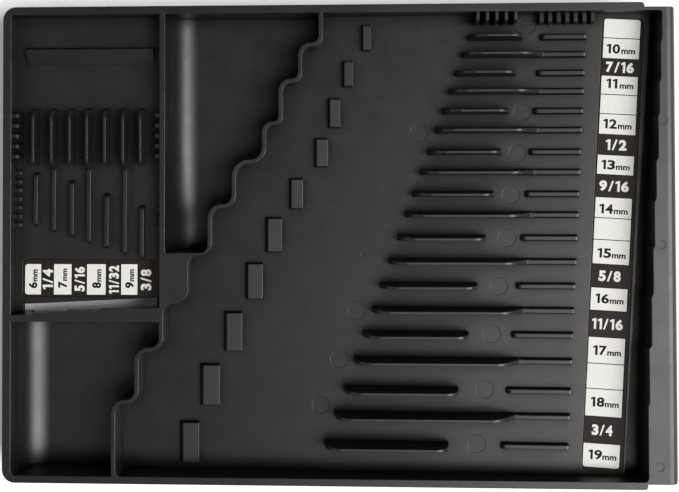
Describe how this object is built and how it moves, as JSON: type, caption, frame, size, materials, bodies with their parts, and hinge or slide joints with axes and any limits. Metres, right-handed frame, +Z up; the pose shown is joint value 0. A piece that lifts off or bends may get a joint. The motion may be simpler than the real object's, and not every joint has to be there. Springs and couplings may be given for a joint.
{
  "type": "wrench rack",
  "caption": "Shallow black plastic tray with graded slots for wrenches on edge, a small compartment, two open bins and printed size strips.",
  "frame": {"origin": "centre of the outline, on the surface that the rack rests on", "axes": "+X towards the front pull, +Y towards the side with the small compartment, +Z up"},
  "size_m": [0.337, 0.24, 0.025],
  "materials": {
    "tray_plastic": "black moulded plastic with a fine satin grain",
    "main_print": "printed paper strip, off-white and near-black cells",
    "small_print": "printed paper strip, off-white and near-black cells"
  },
  "bodies": {
    "root": {"tray": "tray_plastic", "main_size_label": "main_print", "small_size_label": "small_print"}
  },
  "joints": []
}
